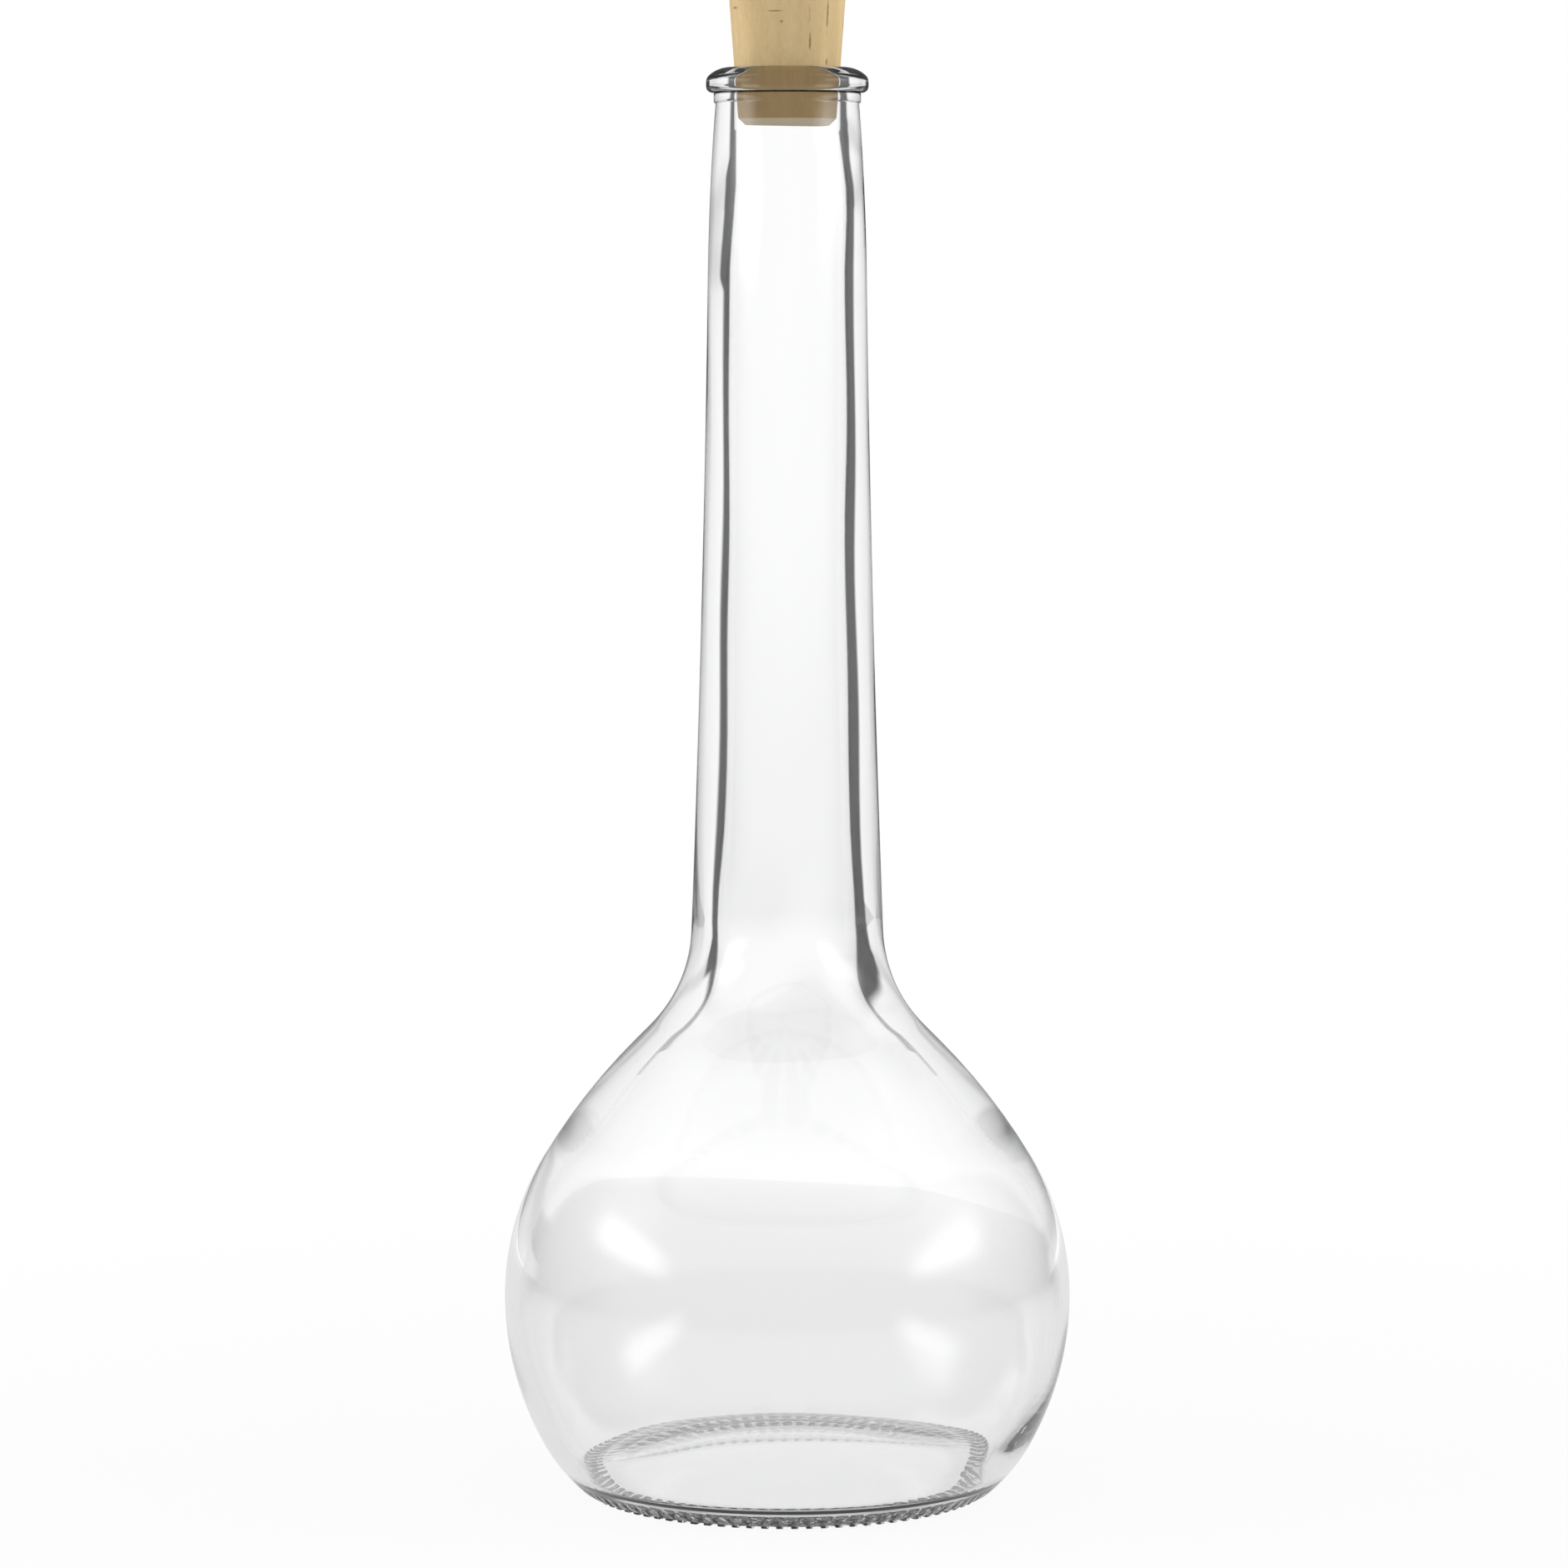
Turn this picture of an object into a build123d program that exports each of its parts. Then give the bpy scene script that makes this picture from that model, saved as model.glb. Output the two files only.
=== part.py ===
from build123d import *
import os
from math import asin, degrees

# Clear glass genie bottle with a tapered cork, in millimetres.
# The origin is the centre of the circle that the bottle stands on, and +Z points up to the mouth.

# Outside of the belly
belly_radius = 52.6
belly_height = 36.5
low_radius = 55.7
low_angle = 29.0
foot_radius = 38.1
foot_bevel = 0.6
upper_radius = 50.0
upper_angle = 31.6

# Outside of the shoulder and the neck
shoulder_radius = 117.2
shoulder_angle = 13.2
shoulder_run = 4.2
throat_radius = 26.9
neck_angle = 2.2
waist_radius = 14.6
waist_drop = 37.6
neck_top_radius = 13.15

# Collar and lip ring at the mouth
bottle_height = 263.6
lip_height = 4.5
lip_radius = 14.9
lip_crown = 2.6
lip_flat = 0.9
lip_bevel = 0.9
collar_height = 1.9
collar_step = 0.35
bore_radius = 9.75
mouth_bevel = 0.9
bore_depth = 11.6

# Inside of the glass
belly_wall = 2.6
cavity_low_radius = 49.8
cavity_upper_radius = 44.0
cavity_upper_angle = 42.5
cavity_shoulder_run = 26.0
cavity_throat_radius = 32.9
cavity_neck_angle = 1.1
cavity_waist_radius = 11.0
cavity_waist_drop = 41.6
floor_edge_height = 5.0
floor_centre_height = 10.0

# Underside and the ring of knurls that the bottle stands on
punt_height = 5.5
bearing_width = 2.4
knurl_count = 86
knurl_height = 0.45
knurl_length = 1.7
knurl_width = 1.3
knurl_root = 0.4

# Tapered cork
cork_length = 27.0
cork_inserted = 9.9
cork_taper_share = 0.074
cork_gap = 0.1
cork_top_bevel = 1.0
cork_base_bevel = 1.3

os.makedirs("parts", exist_ok=True)


# Glass bottle: one blown wall, turned from its outer and its inner outline
collar_top = bottle_height - lip_height
collar_base = collar_top - collar_height
collar_radius = neck_top_radius + collar_step
lip_crown_base = bottle_height - lip_crown
bore_base = bottle_height - bore_depth
waist_height = bottle_height - waist_drop
cavity_waist_height = bottle_height - cavity_waist_drop
lip_flat_radius = bore_radius + mouth_bevel + lip_flat
cavity_radius = belly_radius - belly_wall
bearing_radius = foot_radius - bearing_width
floor_angle = degrees(asin((belly_height - floor_edge_height) / cavity_low_radius))

with BuildPart() as bottle:
    with BuildSketch(Plane.XZ) as wall:
        with BuildLine() as outline:
            # Underside, heel and belly
            punt = TangentArc((0, punt_height), (bearing_radius, knurl_height), tangent=(1, 0))
            Line(punt @ 1, (foot_radius, knurl_height))
            low = JernArc((belly_radius, belly_height), (0, -1), low_radius, -low_angle)
            TangentArc(low @ 1, (foot_radius, knurl_height), tangent=low % 1)
            upper = JernArc((belly_radius, belly_height), (0, 1), upper_radius, upper_angle)
            # Shoulder and neck
            shoulder = JernArc(upper @ 1, upper % 1, shoulder_radius, shoulder_angle)
            slope = PolarLine(shoulder @ 1, shoulder_run, direction=shoulder % 1)
            throat_angle = upper_angle + shoulder_angle - neck_angle
            throat = JernArc(slope @ 1, slope % 1, throat_radius, -throat_angle)
            neck = TangentArc(throat @ 1, (waist_radius, waist_height), tangent=throat % 1)
            TangentArc(neck @ 1, (neck_top_radius, collar_base), tangent=neck % 1)
            # Collar, lip ring and mouth
            Polyline(
                (neck_top_radius, collar_base),
                (collar_radius, collar_base),
                (collar_radius, collar_top),
                (lip_radius, collar_top),
                (lip_radius, lip_crown_base),
            )
            lip_crown_width = lip_radius - lip_flat_radius
            EllipticalCenterArc(
                (lip_flat_radius, lip_crown_base), lip_crown_width, lip_crown, arc_size=90
            )
            Polyline(
                (lip_flat_radius, bottle_height),
                (bore_radius, bottle_height),
                (bore_radius, bore_base),
            )
            # Inside of the neck, the shoulder and the belly
            cavity_upper = JernArc(
                (cavity_radius, belly_height), (0, 1), cavity_upper_radius, cavity_upper_angle
            )
            cavity_slope = PolarLine(
                cavity_upper @ 1, cavity_shoulder_run, direction=cavity_upper % 1
            )
            cavity_throat_angle = cavity_upper_angle - cavity_neck_angle
            cavity_throat = JernArc(
                cavity_slope @ 1, cavity_slope % 1, cavity_throat_radius, -cavity_throat_angle
            )
            cavity_neck = TangentArc(
                cavity_throat @ 1,
                (cavity_waist_radius, cavity_waist_height),
                tangent=cavity_throat % 1,
            )
            TangentArc(cavity_neck @ 1, (bore_radius, bore_base), tangent=cavity_neck % 1)
            cavity_low = JernArc(
                (cavity_radius, belly_height), (0, -1), cavity_low_radius, -floor_angle
            )
            # Floor, domed over the punt
            TangentArc((0, floor_centre_height), cavity_low @ 1, tangent=(1, 0))
            Line((0, floor_centre_height), (0, punt_height))
        make_face()
        for corner, bevel in (
            ((foot_radius, knurl_height), foot_bevel),
            ((lip_radius, collar_top), lip_bevel),
            ((bore_radius, bottle_height), mouth_bevel),
        ):
            chamfer(wall.vertices().sort_by_distance(Vector(*corner))[0], bevel)
    revolve(axis=Axis.Z)
    # Knurls: short radial bars moulded under the heel
    with BuildSketch(Plane.XY) as knurls:
        with PolarLocations((bearing_radius + foot_radius - foot_bevel) / 2, knurl_count):
            Rectangle(knurl_length, knurl_width)
    extrude(amount=knurl_height + knurl_root)
bottle.part.label = "bottle"
export_step(bottle.part, "parts/bottle.step")


# Cork: a tapered natural cork, pushed into the bore until its side meets the mouth
seat_height = bottle_height - mouth_bevel
seat_radius = bore_radius - cork_gap
cork_base = seat_height - cork_inserted
cork_base_radius = seat_radius - cork_inserted * cork_taper_share
cork_top_radius = cork_base_radius + cork_length * cork_taper_share

with BuildPart() as cork_stopper:
    with BuildSketch(Plane.XY.offset(cork_base)):
        Circle(cork_base_radius)
    with BuildSketch(Plane.XY.offset(cork_base + cork_length)):
        Circle(cork_top_radius)
    loft()
    chamfer(cork_stopper.edges().group_by(Axis.Z)[-1], cork_top_bevel)
    chamfer(cork_stopper.edges().group_by(Axis.Z)[0], cork_base_bevel)
cork_stopper.part.label = "cork_stopper"
export_step(cork_stopper.part, "parts/cork_stopper.step")
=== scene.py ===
from math import atan2, ceil, cos, hypot, pi, radians, sin

import bmesh
import bpy
from bpy.props import (
    FloatProperty,
    FloatVectorProperty,
    IntProperty,
    PointerProperty,
)
from bpy.types import Operator, Panel, PropertyGroup
from mathutils import Matrix, Vector


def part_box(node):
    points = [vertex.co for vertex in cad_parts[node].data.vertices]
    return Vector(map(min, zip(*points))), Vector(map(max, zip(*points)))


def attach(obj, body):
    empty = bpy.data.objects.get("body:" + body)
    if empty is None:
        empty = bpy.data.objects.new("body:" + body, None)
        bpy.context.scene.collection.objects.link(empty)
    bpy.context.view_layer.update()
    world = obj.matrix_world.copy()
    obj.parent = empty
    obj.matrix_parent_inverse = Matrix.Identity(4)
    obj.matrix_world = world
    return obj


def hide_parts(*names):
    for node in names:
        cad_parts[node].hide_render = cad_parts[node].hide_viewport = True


bl_info = {
    "name": "Glass genie bottle",
    "version": (1, 0, 0),
    "blender": (4, 5, 0),
    "location": "3D View > Sidebar > Bottle",
    "description": "Makes a clear glass genie bottle with a tapered cork, in a plain studio",
    "category": "Add Mesh",
}

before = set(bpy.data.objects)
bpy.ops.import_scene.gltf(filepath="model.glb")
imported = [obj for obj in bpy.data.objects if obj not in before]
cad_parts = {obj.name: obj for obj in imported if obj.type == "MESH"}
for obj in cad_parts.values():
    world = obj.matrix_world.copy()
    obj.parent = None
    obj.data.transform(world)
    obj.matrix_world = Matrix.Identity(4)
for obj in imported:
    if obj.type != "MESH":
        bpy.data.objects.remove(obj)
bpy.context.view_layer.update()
BOTTLE_LOW, BOTTLE_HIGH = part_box("bottle")
CORK_LOW, CORK_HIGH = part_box("cork_stopper")

MM = 0.001
ABOUT_Z = Vector((0, 0, 1))
IN_SECTION = Vector((0, -1, 0))
MERGE_DISTANCE = 0.001 * MM
# Share of a face's normal along Z from which the face counts as level
LEVEL_NORMAL = 0.9


# Settings

def length(name, description, default):
    """A length in metres."""
    return FloatProperty(
        name=name, description=description, default=default, unit="LENGTH", precision=5
    )


def angle(name, description, degrees):
    """An angle, given in degrees and kept in radians."""
    return FloatProperty(
        name=name, description=description, default=radians(degrees), unit="ROTATION"
    )


def amount(name, description, default):
    """A plain number."""
    return FloatProperty(name=name, description=description, default=default, precision=4)


def colour(name, description, *default):
    """A linear colour with alpha."""
    return FloatVectorProperty(
        name=name, description=description, default=(*default, 1), size=4, subtype="COLOR"
    )


class OutsideSizes(PropertyGroup):
    """Outer outline of the glass, from the foot to the collar."""

    belly_radius: length("Belly radius", "Widest radius of the belly", BOTTLE_HIGH.x)
    belly_height: length("Belly height", "Height of the widest circle", 36.5 * MM)
    low_radius: length("Low curve", "Radius of the curve under the widest circle", 55.7 * MM)
    low_angle: angle("Low turn", "Turn of that curve", 29.0)
    foot_radius: length("Foot radius", "Radius of the foot", 38.1 * MM)
    foot_round: length("Foot edge", "Rounding of the edge of the foot", 0.9 * MM)
    upper_radius: length("Upper curve", "Radius of the curve over the widest circle", 50.0 * MM)
    upper_angle: angle("Upper turn", "Turn of that curve", 31.6)
    shoulder_radius: length("Shoulder curve", "Radius of the gentle curve above it", 117.2 * MM)
    shoulder_angle: angle("Shoulder turn", "Turn of that curve", 13.2)
    shoulder_run: length("Shoulder run", "Straight stretch below the throat", 4.2 * MM)
    throat_radius: length("Throat curve", "Radius of the hollow curve into the neck", 26.9 * MM)
    neck_angle: angle("Neck lean", "Lean of the neck where the throat ends", 2.2)
    waist_radius: length("Waist radius", "Radius of the neck at its waist", 14.6 * MM)
    waist_drop: length("Waist drop", "Depth of the waist under the mouth", 37.6 * MM)
    top_radius: length("Neck top radius", "Radius of the neck under the collar", 13.15 * MM)


class MouthSizes(PropertyGroup):
    """Collar, lip ring and bore."""

    height: length("Bottle height", "Height of the mouth above the table", BOTTLE_HIGH.z)
    lip_height: length("Lip height", "Height of the ring at the mouth", 4.5 * MM)
    lip_radius: length("Lip radius", "Widest radius of the ring", 14.9 * MM)
    lip_crown: length("Lip crown", "Height of the domed top of the ring", 2.6 * MM)
    lip_flat: length("Lip flat", "Level strip beside the bore", 0.9 * MM)
    lip_round: length("Lip edge", "Rounding of the lower edge of the ring", 1.1 * MM)
    collar_height: length("Collar height", "Height of the band under the ring", 1.9 * MM)
    collar_step: length("Collar step", "How far the band stands out from the neck", 0.35 * MM)
    collar_round: length("Collar edge", "Rounding of the edge of the band", 0.25 * MM)
    groove_height: length("Groove height", "Height of the groove between band and ring", 0.3 * MM)
    groove_depth: length("Groove depth", "Depth of that groove", 0.15 * MM)
    lip_side: length("Lip side", "Radius of the curve above the widest part of the ring", 1.7 * MM)
    lip_side_turn: angle("Lip side turn", "Turn of that curve", 48)
    bore_radius: length("Bore radius", "Radius of the mouth", 9.75 * MM)
    mouth_round: length("Mouth edge", "Rounding of the edge of the mouth", 0.9 * MM)
    bore_depth: length("Bore depth", "Depth of the straight bore", 11.6 * MM)


class InsideSizes(PropertyGroup):
    """Inner outline of the glass and its unevenness."""

    belly_wall: length("Belly wall", "Thickness of the glass at the belly", 2.6 * MM)
    low_radius: length("Low curve", "Radius of the curve down to the floor", 49.8 * MM)
    upper_radius: length("Upper curve", "Radius of the curve over the widest circle", 44.0 * MM)
    upper_angle: angle("Upper turn", "Turn of that curve", 42.5)
    shoulder_run: length("Shoulder run", "Straight stretch under the throat", 26.0 * MM)
    throat_radius: length("Throat curve", "Radius of the hollow curve into the neck", 32.9 * MM)
    neck_angle: angle("Neck lean", "Lean of the wall where the throat ends", 1.1)
    waist_radius: length("Waist radius", "Inner radius at the waist", 11.0 * MM)
    waist_drop: length("Waist drop", "Depth of the waist under the mouth", 41.6 * MM)
    floor_edge: length("Floor edge height", "Height of the floor beside the wall", 5.0 * MM)
    floor_round: length("Floor edge rounding", "Rounding where the floor meets the wall", 0.5 * MM)
    floor_centre: length("Floor centre height", "Height of the domed floor", 10.0 * MM)
    ripple: length("Ripple", "Unevenness of the blown inner wall at the shoulder", 0.36 * MM)
    neck_drift: length("Neck drift", "Sideways drift of the bore under the cork", 0.45 * MM)
    belly_drift: length("Belly drift", "Sideways drift of the inner wall of the belly", 0.5 * MM)


class BaseSizes(PropertyGroup):
    """Underside and the ring of knurls."""

    punt_height: length("Punt height", "Height of the hollow under the bottle", 5.5 * MM)
    bearing_width: length("Bearing width", "Width of the ring that carries the knurls", 2.4 * MM)
    knurl_count: IntProperty(
        name="Knurls", description="Number of knurls round the foot", default=86, min=12
    )
    knurl_height: length("Knurl height", "How far a knurl stands out", 0.45 * MM)
    knurl_bevel: length("Knurl edge", "Bevel round a knurl", 0.16 * MM)


class GlassLook(PropertyGroup):
    """Clear glass."""

    tint: colour("Tint", "Colour of light through one surface", 0.985, 0.988, 0.986)
    # The edge colour paints shade: dark outlines at grazing angles, the dark heel line, the dark
    # specks round the foot and the dark groove under the lip ring
    edge: colour("Edge", "Colour of light that skims a surface", 0.025, 0.025, 0.025)
    ior: amount("IOR", "Refractive index of the glass", 1.5)
    # The outline, inline and inline_belly values give the facing at which the painted dark
    # outlines begin
    outline: amount("Outer outline", "Facing value at which the outside starts to darken", 0.9)
    depth: colour("Depth colour", "Colour that thick glass takes on", 0.36, 0.368, 0.366)
    density: amount("Density", "How much of the light a metre of glass takes away", 13)
    inline: amount("Inner outline", "Facing value at which the inside starts to darken", 0.68)
    inline_belly: amount("Belly outline", "The same for the inside of the belly", 0.94)
    foot_relief: length("Foot relief", "Depth of the uneven bars moulded round the foot", 1.2 * MM)
    wave: amount("Wave", "Strength of the slight unevenness of the surface", 0.02)


class CorkSizes(PropertyGroup):
    """Tapered cork."""

    taper: amount("Taper", "Growth of the radius for each length of cork", 0.074)
    base_radius: length("Foot radius", "Radius of the cork at its foot", 8.917 * MM)
    top_bevel: length("Top edge", "Bevel of the upper edge", 1.0 * MM)
    base_bevel: length("Foot edge", "Bevel of the lower edge", 1.3 * MM)
    soft_edge: length("Soft edge", "Rounding of the edges left by the bevels", 0.25 * MM)


class CorkLook(PropertyGroup):
    """Natural cork."""

    pale: colour("Pale cork", "Lightest grain", 0.68, 0.515, 0.275)
    tan: colour("Tan cork", "Middle grain", 0.59, 0.437, 0.225)
    dark: colour("Dark grain", "Darker grain", 0.42, 0.29, 0.14)
    pore: colour("Pores", "Bark filled pores", 0.24, 0.15, 0.06)
    # The end colour is partly the paler cut grain and partly painted light, brightening the lower
    # bevel
    end: colour("End grain", "Cut ends and bevels", 0.84, 0.71, 0.51)
    in_mouth: colour("Pressed cork", "Tone of the part that is in the mouth", 0.79, 0.69, 0.5)


class StudioLook(PropertyGroup):
    """Floor, lamps, background and camera."""

    floor_radius: length("Floor radius", "Radius of the round floor", 0.85)
    floor: colour("Floor", "Colour of the floor", 0.82, 0.82, 0.82)
    floor_white: amount("Floor white", "Share of the floor that just looks white", 0.93)
    # Painted shadow: through glass the floor is darker under and beside the bottle than far off
    floor_inside: amount("Floor inside", "Floor under the bottle, through glass", 0.91)
    floor_beside: amount("Floor beside", "Floor beside the foot, through glass", 0.95)
    floor_far: amount("Floor far", "Brightness of the far floor through glass", 1.08)
    floor_mirrored: amount("Mirrored floor", "Brightness of the floor in mirror images", 0.82)
    # Painted shadow: the floor seen through glass is this bright in a ring under the foot
    painted_contact_shadow: amount("Contact", "Brightness of the floor under the foot", 0.8)
    backdrop: amount("Backdrop", "Brightness of the white backdrop through glass", 1.18)
    fill: amount("Fill light", "Brightness of the world on the object", 0.53)
    fill_through: amount("Fill through glass", "Brightness of the world on what glass holds", 0.95)
    room: amount("Room", "Room behind the object in mirror images", 0.12)
    room_front: amount("Front room", "Room behind the camera in mirror images", 0.4)
    screen: amount("Screen", "Screen behind the object in mirror images", 1.12)
    screen_level: amount("Screen at eye level", "Brightness of that screen at eye level", 0.88)
    ceiling: amount("Ceiling", "Brightness of the ceiling in mirror images", 0.4)
    soft_box: amount("Soft boxes", "Brightness of the soft boxes in mirror images", 0.7)
    soft_box_strip: amount("Strip of the soft boxes", "Brightness of the strip across them", 2.1)
    box_distance: length("Soft box distance", "From the axis to each soft box", 0.8)
    side_lamp: FloatProperty(
        name="Side lamps", description="Power of each side lamp", default=5.5, unit="POWER"
    )
    top_lamp: FloatProperty(
        name="Top lamp", description="Power of the lamp overhead", default=2.6, unit="POWER"
    )
    side_distance: length("Side lamp distance", "From the axis to each side lamp", 0.95)
    top_height: length("Top lamp height", "Height of the lamp overhead", 1.3)
    camera_distance: length("Camera distance", "From the axis of the bottle", 1.06)
    camera_height: length("Camera height", "Above the table", 223.1 * MM)
    camera_side: length("Camera side step", "To the left of the axis", 0.61 * MM)
    camera_tilt: angle("Camera tilt", "Downward tilt", 4.915)
    camera_lens: FloatProperty(
        name="Lens", description="Focal length on a 36 mm sensor", default=131.94, unit="CAMERA"
    )


class BottleSettings(PropertyGroup):
    """All settings of the bottle and its studio."""

    outside: PointerProperty(type=OutsideSizes)
    mouth: PointerProperty(type=MouthSizes)
    inside: PointerProperty(type=InsideSizes)
    base: PointerProperty(type=BaseSizes)
    glass: PointerProperty(type=GlassLook)
    cork: PointerProperty(type=CorkSizes)
    cork_look: PointerProperty(type=CorkLook)
    studio: PointerProperty(type=StudioLook)


# Nodes

class Nodes:
    """Short words for adding and joining the nodes of one material or world."""

    def __init__(self, owner):
        owner.use_nodes = True
        self.tree = owner.node_tree

    def join(self, value, socket):
        """Sets a socket to a value, or links it to another socket."""
        if isinstance(value, bpy.types.NodeSocket):
            self.tree.links.new(value, socket)
        else:
            socket.default_value = value

    def put(self, kind, sockets, **settings):
        """Adds a node with its sockets and settings."""
        node = self.tree.nodes.new("ShaderNode" + kind)
        for name, value in settings.items():
            setattr(node, name, value)
        for name, value in sockets.items():
            self.join(value, node.inputs[name])
        return node

    def math(self, operation, *values):
        """One step of arithmetic on sockets and numbers."""
        return self.put("Math", dict(enumerate(values)), operation=operation).outputs[0]

    def fade(self, value, start, end, first, last):
        """A soft step from one level to another, while a value runs over a range."""
        sockets = {
            "Value": value, "From Min": start, "From Max": end, "To Min": first, "To Max": last
        }
        return self.put("MapRange", sockets, interpolation_type="SMOOTHSTEP").outputs[0]

    def band(self, value, levels):
        """A soft band: it fades in between the first two levels, and out between the last two."""
        rise = self.fade(value, levels[0], levels[1], 0, 1)
        return self.math("MULTIPLY", rise, self.fade(value, levels[2], levels[3], 1, 0))

    def patch(self, across, up, width, height):
        """A soft patch, where a band across meets a band upward."""
        return self.math("MULTIPLY", self.band(across, width), self.band(up, height))

    def between(self, share, first, second):
        """A level between two levels."""
        return self.put("Mix", {"Factor": share, "A": first, "B": second}).outputs["Result"]

    def colour(self, share, first, second):
        """A colour between two colours."""
        sockets = {"Factor": share, "A": first, "B": second}
        return self.put("Mix", sockets, data_type="RGBA").outputs["Result"]

    def noise(self, place, stretch, scale, detail):
        """A noise pattern on stretched coordinates."""
        mapping = self.put("Mapping", {"Vector": place, "Scale": stretch})
        sockets = {"Vector": mapping.outputs[0], "Scale": scale, "Detail": detail}
        return self.put("TexNoise", sockets).outputs["Fac"]

    def bump(self, height, strength, distance):
        """A surface that follows a pattern."""
        sockets = {"Height": height, "Strength": strength, "Distance": distance}
        return self.put("Bump", sockets).outputs["Normal"]


# Turned shapes

class Outline:
    """Draws half of a turned section in the XZ plane, in steps from one tip to the next."""

    arc_step = radians(2.5)
    line_step = 6 * MM

    def __init__(self, mesh, radius, height, heading):
        self.mesh = mesh
        self.heading = heading
        self.tip = mesh.verts.new((radius, 0, height))
        self.verts = [self.tip]

    def _draw(self, **turn):
        made = bmesh.ops.spin(
            self.mesh, geom=[self.tip], use_duplicate=False, use_merge=False, **turn
        )
        self.tip = made["geom_last"][0]
        self.verts.append(self.tip)
        return self.tip

    def line_to(self, radius, height):
        """A straight stretch to a point."""
        way = Vector((radius, 0, height)) - self.tip.co
        self.heading = atan2(way.z, way.x)
        steps = ceil(way.length / self.line_step)
        return self._draw(
            cent=self.tip.co, axis=IN_SECTION, angle=0, dvec=way / steps, steps=steps
        )

    def arc(self, radius, turn):
        """An arc that carries on from the last stretch. A positive turn is to the left."""
        side = 1 if turn > 0 else -1
        left = Vector((-sin(self.heading), 0, cos(self.heading)))
        steps = max(ceil(abs(turn) / self.arc_step), ceil(radius * abs(turn) / self.line_step))
        self.heading += turn
        return self._draw(
            cent=self.tip.co + left * radius * side, axis=IN_SECTION, angle=turn, steps=steps
        )

    def arc_to(self, radius, height):
        """An arc that carries on from the last stretch and ends at a point."""
        way = Vector((radius, 0, height)) - self.tip.co
        ahead = way.x * cos(self.heading) + way.z * sin(self.heading)
        aside = way.z * cos(self.heading) - way.x * sin(self.heading)
        return self.arc(abs(way.length_squared / (2 * aside)), 2 * atan2(aside, ahead))

    def dome_to(self, height):
        """An arc to the axis, level where it ends."""
        reach, rise = self.tip.co.x, height - self.tip.co.z
        half_turn = atan2(rise, reach)
        self.heading = pi - 2 * half_turn
        return self.arc((reach ** 2 + rise ** 2) / (2 * abs(rise)), 2 * half_turn)


def turn_round(mesh, outline, segments):
    """Turns an outline into a full surface and returns its faces. One quarter is spun, and
    then doubled twice."""
    before = set(mesh.verts).difference(outline)
    bmesh.ops.spin(
        mesh,
        geom=outline,
        cent=(0, 0, 0),
        axis=ABOUT_Z,
        angle=pi / 2,
        steps=segments // 4,
        use_merge=False,
        use_duplicate=False,
    )
    for share in (pi / 2, pi):
        part = [vert for vert in mesh.verts if vert not in before]
        faces = [face for face in mesh.faces if face.verts[0] not in before]
        copy = bmesh.ops.duplicate(mesh, geom=part + faces)["geom"]
        bmesh.ops.rotate(
            mesh,
            verts=[item for item in copy if isinstance(item, bmesh.types.BMVert)],
            cent=(0, 0, 0),
            matrix=Matrix.Rotation(share, 3, "Z"),
        )
    return [face for face in mesh.faces if face.verts[0] not in before]


def step(value, start, end):
    """A soft step from nought to one while a value runs from start to end."""
    share = min(1, max(0, (value - start) / (end - start)))
    return share * share * (3 - 2 * share)


def close_seams(mesh):
    """Merges the seams and poles of a turned mesh and points its faces outwards."""
    bmesh.ops.remove_doubles(mesh, verts=mesh.verts, dist=MERGE_DISTANCE)
    bmesh.ops.recalc_face_normals(mesh, faces=mesh.faces)


def finish_piece(mesh, name, material, sharp_angle):
    """Closes a turned mesh, makes it an object at the origin and gives it its material."""
    close_seams(mesh)
    for face in mesh.faces:
        face.smooth = True
    data = bpy.data.meshes.new(name)
    mesh.to_mesh(data)
    mesh.free()
    data.set_sharp_from_angle(angle=sharp_angle)
    data.materials.append(material)
    piece = bpy.data.objects.new(name, data)
    bpy.context.scene.collection.objects.link(piece)
    return piece


# Bottle

SECTORS_PER_KNURL = 4
CORNER_SEGMENTS = 5
KNURL_EDGE_SEGMENTS = 2
# Nothing this near the axis drifts or ripples
STILL_REACH = 1 * MM

# Heights in millimetres between which the inner wall is uneven: from, full from, full to, to
BODY_RIPPLE = (12, 30, 232, 246)
SHOULDER_RIPPLE = (80, 94, 104, 122)
NECK_DRIFT = (225, 241, 243, 251.5)
BELLY_DRIFT = (8, 20, 48, 72)
BODY_SHARE = 0.22
# Waves in the inner wall: size, number round it, radians for each metre of height, start
WAVES = ((0.6, 2, 60, 0.8), (0.3, 3, -95, 2.1), (0.35, 5, 140, 0))


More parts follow.
